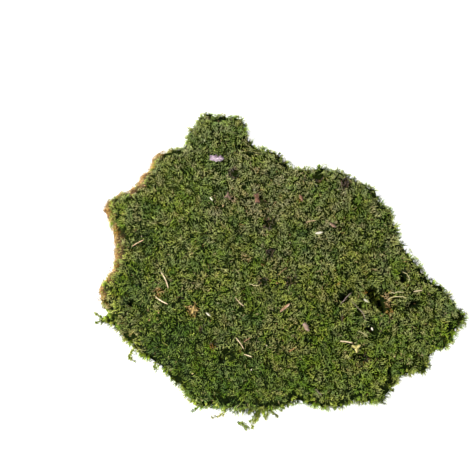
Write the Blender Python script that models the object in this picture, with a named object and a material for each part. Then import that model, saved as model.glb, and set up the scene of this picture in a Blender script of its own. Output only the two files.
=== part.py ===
"""A torn sheet of woodland moss lying flat, with the forest litter caught on it.

Metres, +Z up. The sheet rests on z = 0, and the origin is on the ground under the middle of its
bounding box. +X runs along its length, and +Y points away from the side it is seen from.
"""

import math
import random

import bmesh
import bpy
import numpy as np
from mathutils import Vector, noise
from mathutils.bvhtree import BVHTree
from mathutils.geometry import delaunay_2d_cdt

MM = 0.001

# Driving dimensions of the sheet
SHEET_LENGTH = 345 * MM
SHEET_THICKNESS = 23 * MM
EDGE_HEIGHT = 9 * MM
EDGE_ROLL = 14 * MM
UNDERCUT = 2.4 * MM

# Relief of its top, each as a height and the width over which it repeats
SWELL_HEIGHT = 2.6 * MM
SWELL_WIDTH = 95 * MM
CUSHION_HEIGHT = 4.2 * MM
CUSHION_WIDTH = 23 * MM
TUFT_HEIGHT = 1.3 * MM
TUFT_WIDTH = 9 * MM
EDGE_TUFT_REACH = 2.6 * MM

# The torn side, where the sheet was ripped: it leans outward and has no rolled edge
TORN_FACING = math.radians(157)
TORN_EDGE_HEIGHT = 4 * MM
TORN_SLOPE = 7.5 * MM
TORN_UNDERCUT = 0.8 * MM
TORN_ENDS_AT_X = -45 * MM

# Facet sizes
EDGE_STEP = 4.4 * MM
RIM_INSETS = (2.6 * MM, 6.0 * MM, 10.0 * MM)
RIM_SPACING = 3.9 * MM
TOP_SPACING = 5.8 * MM
PIT_SPACING = 1.5 * MM
PIT_RINGS = ((0.2, 5), (0.85, 11), (1.45, 13))

# Litter rests on the moss with this gap
REST_GAP = 0.4 * MM

# The view that places are read from: pixel columns of the sheet's ends, and the steep look down
PHOTO_MIDDLE_PX = 235
SHEET_LEFT_PX = 98
SHEET_RIGHT_PX = 465
VIEW_ELEVATION = math.radians(75)
VIEW_HALF_WIDTH = 0.2118
METRES_PER_PX = SHEET_LENGTH / (SHEET_RIGHT_PX - SHEET_LEFT_PX)
VIEW_DISTANCE = METRES_PER_PX * PHOTO_MIDDLE_PX / VIEW_HALF_WIDTH

# The sheet's outline in pixels, anticlockwise from the notch on its left side
OUTLINE_PX = [
    (116, 234), (116, 259), (113, 269), (108, 277), (101, 283), (100, 290), (102, 301), (106, 312),
    (98, 320), (111, 325), (119, 332), (124, 341), (135, 346), (140, 354), (158, 363), (186, 393),
    (191, 401), (200, 407), (212, 405), (224, 408), (240, 410), (250, 410), (252, 418), (255, 425),
    (259, 418), (261, 411), (281, 408), (296, 400), (311, 406), (325, 408), (338, 407), (358, 401),
    (372, 403), (383, 401), (401, 375), (423, 371), (430, 366), (428, 358), (436, 350), (447, 348),
    (457, 329), (465, 323), (464, 315), (449, 297), (443, 287), (430, 281), (421, 272), (416, 263),
    (400, 244), (390, 209), (381, 203), (373, 189), (350, 177), (324, 168), (303, 170), (292, 169),
    (284, 163), (278, 154), (270, 150), (260, 150), (252, 146), (247, 136), (243, 123), (236, 116),
    (225, 117), (203, 114), (197, 124), (188, 134), (182, 147), (170, 151), (159, 152), (153, 161),
    (150, 169), (134, 188), (130, 191), (114, 196), (105, 209),
]

# Pits and clefts: both ends in pixels, then half width and depth
PITS = [
    ((374, 294), (381, 307), 4.6 * MM, 15 * MM),
    ((401, 275), (404, 279), 3.4 * MM, 10 * MM),
    ((344, 301), (350, 294), 3.0 * MM, 7 * MM),
    ((369, 328), (373, 330), 3.2 * MM, 7 * MM),
    ((407, 306), (416, 302), 3.2 * MM, 6 * MM),
    ((390, 370), (391, 383), 3.2 * MM, 7 * MM),
    ((222, 360), (233, 350), 3.4 * MM, 4.5 * MM),
    ((243, 146), (254, 151), 4.2 * MM, 6 * MM),
    ((130, 303), (141, 309), 3.4 * MM, 4 * MM),
    ((268, 360), (271, 371), 3.2 * MM, 4 * MM),
    ((354, 357), (366, 353), 3.4 * MM, 4 * MM),
    ((265, 220), (275, 224), 3.6 * MM, 4 * MM),
]

# Thin fringes of the edge that lie down on the ground: middle in pixels, reach and share left
DROOPS = [
    ((256, 421), 13 * MM, 0.3),
    ((101, 319), 11 * MM, 0.45),
    ((428, 366), 13 * MM, 0.6),
    ((461, 322), 12 * MM, 0.75),
]

# Litter by kind. Each piece: name, its two ends in pixels, thickness or width, bow sideways
NEEDLES = [
    ("needle_left", (132, 246), (144, 239), 1.5 * MM, 0.3 * MM, "needle_tan"),
    ("needle_pale_upper", (161, 272), (168, 288), 1.6 * MM, 0.9 * MM, "needle_pale"),
    ("needle_pale_lower", (155, 296), (168, 304), 1.6 * MM, -0.7 * MM, "needle_pale"),
    ("needle_centre_left", (235, 297), (244, 306), 1.2 * MM, -0.5 * MM, "needle_pale"),
    ("needle_centre_dark", (278, 275), (287, 267), 1.0 * MM, 0.4 * MM, "needle_brown"),
    ("needle_crossed_pale", (236, 338), (244, 349), 1.4 * MM, 0.3 * MM, "needle_pale"),
    ("needle_crossed_brown", (243.5, 342), (251, 337), 1.3 * MM, 0.2 * MM, "needle_brown"),
    ("needle_below_crossed", (244, 354), (252, 357), 1.3 * MM, 0.2 * MM, "needle_pale"),
    ("needle_orange", (289, 352), (295, 348), 1.4 * MM, 0.2 * MM, "needle_orange"),
    ("needle_right_tan", (340, 341), (353, 343), 1.9 * MM, 0.3 * MM, "needle_pale"),
    ("needle_upper_right", (306, 222), (316, 220), 1.4 * MM, 0.4 * MM, "needle_tan"),
    ("needle_far_right", (414, 291), (423, 290), 1.4 * MM, 0.3 * MM, "needle_pale"),
]
SCALES = [
    ("bud_scale_long", (280, 311), (290, 303), 2.9 * MM, "scale_pink"),
    ("bud_scale_upper", (256, 193), (258, 202), 5.2 * MM, "scale_red"),
    ("bud_scale_upper_left", (226, 192), (230, 198), 3.6 * MM, "scale_red"),
    ("bud_scale_upright", (300, 194), (303, 201), 3.2 * MM, "scale_red"),
    ("bud_scale_small", (330, 223), (336, 227), 3.4 * MM, "scale_red"),
    ("bud_scale_round", (304, 323), (309, 331), 5.0 * MM, "scale_pink"),
    ("bud_scale_yellow", (352, 349), (361, 346), 4.6 * MM, "scale_yellow"),
    ("bud_scale_orange", (190, 307), (197, 312), 4.0 * MM, "scale_orange"),
    ("petal", (210, 158), (224, 157), 5.4 * MM, "petal_lilac"),
    ("husk_white", (315, 233), (323, 232), 2.4 * MM, "husk_white"),
    ("husk_by_pit", (364, 299), (369, 302), 2.2 * MM, "husk_white"),
    ("husk_fleck", (206, 312), (211, 316), 1.8 * MM, "husk_white"),
    ("husk_upper_left", (210, 196), (212.5, 199.5), 1.7 * MM, "husk_white"),
]
STALKS = [
    ("twig_kinked", (352, 302), (367, 321), 1.0 * MM, 1.5 * MM, "twig_grey"),
    ("twig_in_cleft", (341, 304), (352, 292), 1.1 * MM, 0.4 * MM, "twig_grey"),
    ("twig_near_edge", (315, 389), (322, 397), 1.0 * MM, 0.4 * MM, "twig_grey"),
    ("stalk_pale_centre", (249, 283), (259, 285), 0.9 * MM, -0.8 * MM, "stalk_straw"),
    ("stalk_right", (358, 331), (367, 336), 0.9 * MM, 0.6 * MM, "stalk_straw"),
    ("stalk_by_pit_upper", (390, 293), (404, 292), 1.2 * MM, 0.5 * MM, "stalk_straw"),
    ("stalk_by_pit_lower", (389, 298), (406, 297.5), 1.2 * MM, 1.1 * MM, "stalk_straw"),
    ("stalk_curled", (403, 271), (409, 281), 1.0 * MM, 2.2 * MM, "stalk_straw"),
]

# Principled base colours, as sRGB bytes, with roughness
COLOURS = {
    "moss_green": ((82, 90, 42), 0.85),
    "needle_pale": ((214, 186, 160), 0.55),
    "needle_tan": ((176, 142, 104), 0.6),
    "needle_brown": ((118, 80, 52), 0.6),
    "needle_orange": ((176, 104, 52), 0.6),
    "scale_pink": ((196, 142, 122), 0.6),
    "scale_red": ((132, 72, 52), 0.6),
    "scale_yellow": ((206, 190, 122), 0.6),
    "scale_orange": ((172, 112, 48), 0.65),
    "petal_lilac": ((188, 166, 192), 0.55),
    "husk_white": ((222, 214, 196), 0.6),
    "twig_grey": ((140, 118, 104), 0.75),
    "stalk_straw": ((190, 176, 132), 0.6),
}


def clear_scene():
    """Remove every object of the open file."""
    for obj in list(bpy.data.objects):
        bpy.data.objects.remove(obj, do_unlink=True)


def make_materials():
    """One Principled material for each colour of the table."""
    materials = {}
    for name, (srgb, roughness) in COLOURS.items():
        material = bpy.data.materials.new(name)
        material.use_nodes = True
        shader = material.node_tree.nodes["Principled BSDF"]
        linear = [((c / 255 + 0.055) / 1.055) ** 2.4 for c in srgb]
        shader.inputs["Base Color"].default_value = (*linear, 1)
        shader.inputs["Roughness"].default_value = roughness
        shader.inputs["Metallic"].default_value = 0
        materials[name] = material
    return materials


def from_photo(pixel, height):
    """The point at this height that the view sees at this pixel, as (x, y)."""
    across = (pixel[0] - PHOTO_MIDDLE_PX) / PHOTO_MIDDLE_PX * VIEW_HALF_WIDTH
    up = (PHOTO_MIDDLE_PX - pixel[1]) / PHOTO_MIDDLE_PX * VIEW_HALF_WIDTH
    sine = math.sin(VIEW_ELEVATION)
    cosine = math.cos(VIEW_ELEVATION)
    ray = np.array([across, up * sine + cosine, up * cosine - sine])
    eye = np.array([0, -cosine, sine]) * VIEW_DISTANCE + np.array([0, 0, EDGE_HEIGHT])
    point = eye + ray * (height - eye[2]) / ray[2]
    return point[:2]


def ramp(value, low, high):
    """0 below low, 1 above high, and a smooth rise between."""
    t = np.clip((value - low) / (high - low), 0, 1)
    return t * t * (3 - 2 * t)


def rolling_noise(points, width, seed):
    """Smooth noise between about -1 and 1 at each (x, y)."""
    return np.array([noise.noise(Vector((x / width, y / width, seed))) for x, y in points])


def pillow_noise(points, width, seed):
    """Rounded cushions that meet in creases: 0 in a crease and 1 on a cushion."""
    gaps = []
    for x, y in points:
        distances = noise.voronoi(Vector((x / width, y / width, seed)))[0]
        gaps.append(distances[1] - distances[0])
    return ramp(np.array(gaps), -0.25, 0.45) * 2 - 1


def outward_normals(loop):
    """Unit normals of a closed anticlockwise loop, smoothed over its near points."""
    tangent = sum(np.roll(loop, -k, axis=0) - np.roll(loop, k, axis=0) for k in (1, 2, 3))
    normal = np.stack([tangent[:, 1], -tangent[:, 0]], axis=1)
    return normal / np.linalg.norm(normal, axis=1)[:, None]


def sheet_edge():
    """The ragged outline of the sheet at its widest, as evenly spaced points."""
    corners = np.array([from_photo(pixel, EDGE_HEIGHT) for pixel in OUTLINE_PX])
    closed = np.vstack([corners, corners[:1]])
    travelled = np.concatenate([[0], np.cumsum(np.linalg.norm(np.diff(closed, axis=0), axis=1))])
    count = round(travelled[-1] / EDGE_STEP)
    stations = np.arange(count) * travelled[-1] / count
    edge = np.stack([np.interp(stations, travelled, closed[:, k]) for k in (0, 1)], axis=1)
    bulge = pillow_noise(edge, TUFT_WIDTH, 3.7) * 0.6 + rolling_noise(edge, TUFT_WIDTH * 0.7, 8.1) * 0.4
    return edge + outward_normals(edge) * (bulge * EDGE_TUFT_REACH)[:, None]


def torn_share(edge):
    """How much of the torn side each edge point has, from 0 to 1."""
    facing = np.array([math.cos(TORN_FACING), math.sin(TORN_FACING)])
    share = ramp(outward_normals(edge) @ facing, 0.55, 0.85)
    return share * ramp(-edge[:, 0], -TORN_ENDS_AT_X - 10 * MM, -TORN_ENDS_AT_X + 10 * MM)


def distance_to_segments(points, starts, ends):
    """Distance from each point to each segment, and the share of the way along it."""
    along = ends - starts
    offset = points[:, None, :] - starts[None]
    length_squared = np.maximum((along ** 2).sum(axis=1), 1e-12)
    share = np.clip((offset * along[None]).sum(axis=2) / length_squared, 0, 1)
    return np.linalg.norm(offset - share[..., None] * along[None], axis=2), share


def inside(points, loop):
    """Whether each point is inside the closed loop, by counting crossings."""
    ahead = np.roll(loop, -1, axis=0)
    x, y = points[:, 0, None], points[:, 1, None]
    spans = (loop[None, :, 1] > y) != (ahead[None, :, 1] > y)
    rise = np.where(np.abs(ahead[:, 1] - loop[:, 1]) < 1e-9, 1e-9, ahead[:, 1] - loop[:, 1])
    crossing_x = loop[:, 0] + (y - loop[:, 1]) * (ahead[:, 0] - loop[:, 0]) / rise
    return (spans & (x < crossing_x)).sum(axis=1) % 2 == 1


class Relief:
    """Height of the sheet's top over any point within its edge."""

    def __init__(self, edge):
        self.edge = edge
        self.torn = torn_share(edge)
        self.pits = [(from_photo(a, SHEET_THICKNESS), from_photo(b, SHEET_THICKNESS), half, depth)
                     for a, b, half, depth in PITS]
        self.droops = [(from_photo(middle, EDGE_HEIGHT), reach, left) for middle, reach, left in DROOPS]

    def edge_distance(self, points):
        """Distance of each point to the edge, and the torn share of the nearest edge point."""
        distance, share = distance_to_segments(points, self.edge, np.roll(self.edge, -1, axis=0))
        nearest = distance.argmin(axis=1)
        rows = np.arange(len(points))
        part = share[rows, nearest]
        torn = self.torn[nearest] * (1 - part) + np.roll(self.torn, -1)[nearest] * part
        return distance[rows, nearest], torn

    def droop(self, points):
        """Share of its height that the sheet keeps at each point."""
        kept = np.ones(len(points))
        for middle, reach, left in self.droops:
            away = np.linalg.norm(points - middle, axis=1) / reach
            kept *= 1 - (1 - left) * np.exp(-away ** 4)
        return kept

    def edge_height(self, points, torn):
        """Height of the widest line of the sheet's edge."""
        plain = EDGE_HEIGHT * (1 - torn) + TORN_EDGE_HEIGHT * torn
        return plain * (1 + 0.2 * rolling_noise(points, 18 * MM, 5.5)) * self.droop(points)

    def __call__(self, points):
        distance, torn = self.edge_distance(points)
        crown = SHEET_THICKNESS + SWELL_HEIGHT * rolling_noise(points, SWELL_WIDTH, 1.3)
        crown += CUSHION_HEIGHT * 0.5 * pillow_noise(points, CUSHION_WIDTH, 0.0)
        crown += TUFT_HEIGHT * rolling_noise(points, TUFT_WIDTH, 2.9)
        crown *= self.droop(points)
        base = self.edge_height(points, torn)
        rolled = np.sqrt(1 - (1 - np.clip(distance / EDGE_ROLL, 0, 1)) ** 2)
        ripped = ramp(distance, -0.2 * TORN_SLOPE, TORN_SLOPE) * 1.12 - 0.12
        height = base + (crown - base) * (rolled * (1 - torn) + ripped.clip(0, 1) * torn)
        for start, end, half_width, depth in self.pits:
            away = distance_to_segments(points, start[None], end[None])[0][:, 0] / half_width
            height -= depth * (1 - ramp(away, 0.35, 1.35))
        return height


def top_points(edge, relief, rng):
    """Points of the sheet's top within its edge: at the pits, along the rim, then a loose grid."""
    wanted = []
    for start, end, half_width, _ in relief.pits:
        along = (end - start) / np.linalg.norm(end - start)
        across = np.array([-along[1], along[0]])
        middle = (start + end) / 2
        reach = np.linalg.norm(end - start) / 2
        for size, count in PIT_RINGS:
            for k in range(count):
                turn = 2 * math.pi * (k + size) / count
                offset = along * math.cos(turn) * (reach + size * half_width)
                offset = offset + across * math.sin(turn) * size * half_width
                wanted.append((middle + offset, PIT_SPACING))
    normals = outward_normals(edge)
    for inset in RIM_INSETS:
        for point, normal in zip(edge, normals):
            wanted.append((point - normal * inset, RIM_SPACING))
    low, high = edge.min(axis=0), edge.max(axis=0)
    row_step = TOP_SPACING * math.sqrt(3) / 2
    for row in range(int((high[1] - low[1]) / row_step) + 1):
        for column in range(int((high[0] - low[0]) / TOP_SPACING) + 1):
            x = low[0] + (column + 0.5 * (row % 2)) * TOP_SPACING
            jitter = np.array([rng.uniform(-1, 1), rng.uniform(-1, 1)]) * 0.22 * TOP_SPACING
            wanted.append((np.array([x, low[1] + row * row_step]) + jitter, TOP_SPACING * 0.72))
    places = np.array([place for place, _ in wanted])
    distance, _ = relief.edge_distance(places)
    allowed = inside(places, edge) & (distance > RIM_INSETS[0] * 0.8)
    kept = []
    for (place, spacing), is_allowed in zip(wanted, allowed):
        if not is_allowed:
            continue
        if kept and np.linalg.norm(np.array(kept) - place, axis=1).min() < spacing:
            continue
        kept.append(place)
    return np.array(kept)


def triangulate(loop, extra):
    """Triangles over the inside of a loop, using its points first and then the extra ones."""
    points = [Vector(p) for p in loop] + [Vector(p) for p in extra]
    boundary = [list(range(len(loop)))]
    result = delaunay_2d_cdt(points, [], boundary, 1, 1e-7)
    corner_of = [origins[0] for origins in result[3]]
    return [[corner_of[i] for i in triangle] for triangle in result[2]]


def make_moss_mat(relief, edge, rng, material):
    """The sheet itself: lumpy top, rounded or torn edge, and a flat underside."""
    inner = top_points(edge, relief, rng)
    torn = relief.torn
    normals = outward_normals(edge)
    undercut = (UNDERCUT * (1 - torn) + TORN_UNDERCUT * torn) * relief.droop(edge)
    waist_height = relief.edge_height(edge, torn)
    sole = edge - normals * undercut[:, None]
    shin = edge - normals * (undercut * 0.35)[:, None]
    top_heights = relief(inner)

    bm = bmesh.new()
    waist_ring = [bm.verts.new((*p, h)) for p, h in zip(edge, waist_height)]
    inner_verts = [bm.verts.new((*p, h)) for p, h in zip(inner, top_heights)]
    shin_ring = [bm.verts.new((*p, h * 0.45)) for p, h in zip(shin, waist_height)]
    sole_ring = [bm.verts.new((*p, 0)) for p in sole]
    top_verts = waist_ring + inner_verts
    for corners in triangulate(edge, inner):
        bm.faces.new([top_verts[i] for i in corners])
    for corners in triangulate(sole, []):
        bm.faces.new([sole_ring[i] for i in reversed(corners)])
    count = len(edge)
    for upper, lower in ((waist_ring, shin_ring), (shin_ring, sole_ring)):
        for i in range(count):
            j = (i + 1) % count
            bm.faces.new([upper[i], lower[i], lower[j], upper[j]])
    bmesh.ops.triangulate(bm, faces=bm.faces[:])
    bmesh.ops.recalc_face_normals(bm, faces=bm.faces[:])
    mesh = bpy.data.meshes.new("moss_mat")
    bm.to_mesh(mesh)
    bm.free()
    mesh.shade_smooth()
    return add_object("moss_mat", mesh, material)


def add_object(name, data, material):
    """Link a new object that holds this data, with its one material."""
    obj = bpy.data.objects.new(name, data)
    bpy.context.scene.collection.objects.link(obj)
    data.materials.append(material)
    return obj


def rod_curve(name, points, radii, bevel_resolution=1):
    """A round rod along the points, with its own radius at each and closed ends."""
    curve = bpy.data.curves.new(name, "CURVE")
    curve.dimensions = "3D"
    curve.bevel_depth = 1
    curve.bevel_resolution = bevel_resolution
    curve.use_fill_caps = True
    spline = curve.splines.new("POLY")
    spline.points.add(len(points) - 1)
    for spot, point, radius in zip(spline.points, points, radii):
        spot.co = (*point, 1)
        spot.radius = radius
    return curve


def needle_curve(name, length, thickness, bow):
    """A dry conifer needle along X: even along its middle and pointed at both ends."""
    points, radii = [], []
    for share, girth in ((-1, 0.2), (-0.86, 0.75), (-0.45, 1), (0, 1), (0.45, 0.95), (0.86, 0.6), (1, 0.15)):
        points.append((share * length / 2, bow * (1 - share ** 2), 0))
        radii.append(thickness / 2 * girth)
    return rod_curve(name, points, radii)


def stalk_curve(name, length, thickness, bow, rng):
    """A thin stalk or twig along X, bowed and slightly kinked at its nodes."""
    points, radii = [], []
    for k in range(7):
        share = k / 3 - 1
        kink = rng.uniform(-1, 1) * thickness * 0.5 if 0 < k < 6 else 0
        points.append((share * length / 2, bow * (1 - share ** 2) + kink, 0))
        radii.append(thickness / 2 * (1 - 0.12 * k / 2))
    return rod_curve(name, points, radii)


def scale_mesh(name, length, width, arch):
    """A dry scale or petal along X: a pointed oval plate, arched across and dished at its ends."""
    plate = 0.45 * MM
    bm = bmesh.new()
    rows = []
    for share in (-1, -0.6, -0.2, 0.2, 0.6, 1):
        half = width / 2 * max(0.16, (1 - abs(share) ** 2.4) ** 0.6)
        row = []
        for side in (-1, -0.5, 0, 0.5, 1):
            lift = arch * (1 - side ** 2) - arch * 0.5 * share ** 2
            row.append(bm.verts.new((share * length / 2, side * half, lift)))
        rows.append(row)
    for near, far in zip(rows, rows[1:]):
        for k in range(len(near) - 1):
            bm.faces.new([near[k], far[k], far[k + 1], near[k + 1]])
    bmesh.ops.triangulate(bm, faces=bm.faces[:])
    bmesh.ops.recalc_face_normals(bm, faces=bm.faces[:])
    mesh = bpy.data.meshes.new(name)
    bm.to_mesh(mesh)
    bm.free()
    return mesh, plate


def surface_heights(tree, places):
    """Height of the moss below each (x, y), or None where there is none."""
    heights = []
    for x, y in places:
        hit = tree.ray_cast(Vector((x, y, 0.1)), Vector((0, 0, -1)))
        heights.append(hit[0].z if hit[0] else None)
    return heights


def lay_down(obj, tree, first, second, half_width, lowest):
    """Rest a long piece on the moss so that it bridges the two high spots that carry it."""
    middle = (first + second) / 2
    length = np.linalg.norm(second - first)
    along = (second - first) / length
    across = np.array([-along[1], along[0]])
    shares = np.linspace(-length / 2, length / 2, 2 * math.ceil(length / MM) + 1)
    samples = []
    for s in shares:
        spots = [middle + along * s + across * side * half_width for side in (-1, -0.5, 0, 0.5, 1)]
        heights = [h for h in surface_heights(tree, spots) if h is not None]
        if heights:
            samples.append((s, max(heights)))
    best = None
    for s1, h1 in samples:
        for s2, h2 in samples:
            if s1 > 0 or s2 <= 0:
                continue
            slope = (h2 - h1) / (s2 - s1)
            level = h1 - slope * s1
            if all(level + slope * s >= h - 1e-6 for s, h in samples):
                if best is None or level < best[0]:
                    best = (level, slope)
    level, slope = best
    obj.location = (*middle, level + REST_GAP - lowest)
    obj.rotation_euler = (0, -math.atan(slope), math.atan2(along[1], along[0]))


def make_litter(tree, materials, rng):
    """Every loose piece that lies on the moss, each where the view shows it."""
    litter = []
    top = SHEET_THICKNESS + 3 * MM
    for name, first_px, second_px, thickness, bow, material in NEEDLES:
        first, second = from_photo(first_px, top), from_photo(second_px, top)
        curve = needle_curve(name, np.linalg.norm(second - first), thickness, bow)
        obj = add_object(name, curve, materials[material])
        lay_down(obj, tree, first, second, thickness / 2 + abs(bow), -thickness / 2)
        litter.append(obj)
    for name, first_px, second_px, width, material in SCALES:
        first, second = from_photo(first_px, top), from_photo(second_px, top)
        arch = width * 0.22
        mesh, plate = scale_mesh(name, np.linalg.norm(second - first), width, arch)
        obj = add_object(name, mesh, materials[material])
        solidify = obj.modifiers.new("thickness", "SOLIDIFY")
        solidify.thickness = plate
        solidify.offset = 1
        lay_down(obj, tree, first, second, width / 2, -arch * 0.5 - plate * 0.3)
        litter.append(obj)
    for name, first_px, second_px, thickness, bow, material in STALKS:
        first, second = from_photo(first_px, top), from_photo(second_px, top)
        curve = stalk_curve(name, np.linalg.norm(second - first), thickness, bow, rng)
        obj = add_object(name, curve, materials[material])
        lay_down(obj, tree, first, second, thickness + abs(bow), -thickness / 2)
        litter.append(obj)
    return litter


def main():
    clear_scene()
    materials = make_materials()
    rng = random.Random(20)
    edge = sheet_edge()
    relief = Relief(edge)
    moss = make_moss_mat(relief, edge, rng, materials["moss_green"])
    tree = BVHTree.FromPolygons([v.co for v in moss.data.vertices],
                                [list(p.vertices) for p in moss.data.polygons])
    litter = make_litter(tree, materials, rng)

    # Everything hangs from one empty, which puts the middle of the sheet's box over the origin
    corners = np.array([v.co for v in moss.data.vertices])
    middle = (corners.min(axis=0) + corners.max(axis=0)) / 2
    holder = bpy.data.objects.new("moss_sheet", None)
    bpy.context.scene.collection.objects.link(holder)
    holder.location = (-middle[0], -middle[1], 0)
    for obj in [moss, *litter]:
        obj.parent = holder


main()
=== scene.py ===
"""The looks of a torn sheet of woodland moss: leafy shoots, dead stems, and the litter on it."""

import math

import bpy
import numpy as np
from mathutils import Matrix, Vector, noise
from mathutils.bvhtree import BVHTree
from mathutils.kdtree import KDTree


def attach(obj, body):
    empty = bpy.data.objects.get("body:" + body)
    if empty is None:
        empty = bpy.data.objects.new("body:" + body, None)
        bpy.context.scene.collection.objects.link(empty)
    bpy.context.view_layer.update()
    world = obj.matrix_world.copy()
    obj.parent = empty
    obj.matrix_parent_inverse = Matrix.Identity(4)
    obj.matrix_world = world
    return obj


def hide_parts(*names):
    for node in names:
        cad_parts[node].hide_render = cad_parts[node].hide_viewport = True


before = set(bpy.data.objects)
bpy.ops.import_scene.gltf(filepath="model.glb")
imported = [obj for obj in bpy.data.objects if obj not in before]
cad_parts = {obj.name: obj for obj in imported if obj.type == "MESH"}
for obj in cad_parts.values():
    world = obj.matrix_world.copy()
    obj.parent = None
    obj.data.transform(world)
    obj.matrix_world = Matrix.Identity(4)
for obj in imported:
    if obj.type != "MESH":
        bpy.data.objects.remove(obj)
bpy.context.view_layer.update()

MM = 0.001
rng = np.random.default_rng(11)

# The photograph's view: what its middle looks at, how far off and how steeply it looks down, and
# the way back to the eye
VIEW_AIM = (-0.0435, 0.0279, 0.009)
VIEW_DISTANCE = 1.043
VIEW_ELEVATION = math.radians(75)
VIEW_BACK = (0, -math.cos(VIEW_ELEVATION), math.sin(VIEW_ELEVATION))
LENS_MM = 85
SENSOR_MM = 36
PHOTO_MIDDLE_PX = 235
METRES_PER_PX = 0.00094

# The ground in the photograph is a table lit from below: nothing casts a shadow on it. Plain white
# light comes from all round
FLOOR_GLOW = 0.95
FLOOR_GREY = 0.15
FLOOR_REACH = 20
WORLD_LIGHT = 0.62

# Round soft lights that shine on the middle of the sheet: their power in watts, width and place.
# The low one lights the edge that faces the view
LIGHTS = [
    ("key", 162, 0.3, (-1.15, 0.25, 1.05)),
    ("fill", 58, 0.5, (0.85, -0.85, 0.16)),
]

# Leafy shoots stand in uneven clumps, combed about this way. A clump's middle reaches the CAD
# sheet's surface and its rim drops below that. At the sheet's edge the clumps go this far past it,
# more or less by their reach
COMBED_WAY = math.radians(80)
CLUMP_SPACING = 3.4 * MM
CLUMP_SHARE = 0.55
CLUMP_RADIUS = 4.2 * MM
CLUMP_DROP = 1.4 * MM
EDGE_OUT = 0.7 * MM
EDGE_REACH = 1.9 * MM

# Tips sink by up to this much, in full from this height up. They sink less beside litter, between
# these distances from it. This share of the shoots at the next distances grow over it instead
SHOOT_SINK = 1.2 * MM
SINK_HEIGHT = 6 * MM
LITTER_SIDES = (2 * MM, 5 * MM)
LITTER_OVERGROWN = (0.5 * MM, 2.2 * MM)
OVER_SHARE = 0.45
OVER_HEIGHT = (0.5 * MM, 1.3 * MM)

# The shoots and their leaves: sizes (a leaf's width is a share of its length), tone, brightness and
# how these vary, and how much drier the moss gets with each metre away from the eye. Nothing of a
# shoot comes nearer to the ground than the lowest height
SHOOT_SPACING = 1.34 * MM
SHOOT_LENGTH = (2.6 * MM, 6.4 * MM)
SHOOT_TONE = 0.34
SHOOT_SHADE = 0.76
SHADE_SPREAD = 0.5
DRIER_PER_METRE = 1.2
LEAF_STEP = 0.34 * MM
LEAF_LENGTH = 0.68 * MM
LEAF_WIDTH = 0.55
LEAF_FLICKER = 0.4
STEM_RADIUS = 0.14 * MM
SHOOT_PIECES = 5
LOWEST = 0.25 * MM

# Dead stems: on the torn side, which faces this way left of this x and behind this y, up to its top,
# and across the cut underside. Leaves of either kind have a length and a step. The moss has a pale
# rim of this reach and tone beside the torn side; its lime tone is the moss's own, and its shoots
# there are also painted brighter, painted light on the edge that faces the lamp
TORN_FACING = math.radians(157)
TORN_ENDS_AT_X = -105 * MM
TORN_ENDS_AT_Y = -37 * MM
TORN_TOP = 11 * MM
TORN_OUT = 0.8 * MM
RIM_REACH = 8 * MM
RIM_TONE = 0.32
DEAD_SPACING = 1 * MM
DEAD_LENGTH = (4 * MM, 9 * MM)
DEAD_LEAVES = (0.8 * MM, 0.9 * MM)
ROOT_SPACING = 7.5 * MM
ROOT_LENGTH = (5 * MM, 9 * MM)
ROOT_HEIGHT = 0.4 * MM
ROOT_LEAVES = (0.6 * MM, 0.7 * MM)

# Fields of smooth noise over the moss: the width over which each changes, and its seed
FIELDS = {
    "tone": (34 * MM, 1), "straw": (9 * MM, 7), "dry": (7 * MM, 31), "dry_broad": (40 * MM, 37),
    "clump_tone": (13 * MM, 4), "clump_shade": (14 * MM, 6), "drift": (34 * MM, 3),
    "drift_fine": (12 * MM, 9), "tuft_tone": (20 * MM, 4), "dead_turn": (10 * MM, 21),
    "dead_tone": (9 * MM, 23), "felt": (6 * MM, 2),
}

# The felt of old stems that the shoots grow from lies this far inside the sheet's surface, but that
# share less at the edge. Its cut underside is this high over the ground, with cut stems below it
FELT_DEPTH = 3.8 * MM
FELT_THINNER_AT_EDGE = 0.68
FELT_BOTTOM = 0.6 * MM

# Leaves start at this share of their stem, spiral around it by this angle, and stand off it by so
# many degrees at its foot and its tip
BARE_STEM = 0.16
GOLDEN_ANGLE = math.pi * (3 - math.sqrt(5))
LEAF_ANGLES = (46, 14)

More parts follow.
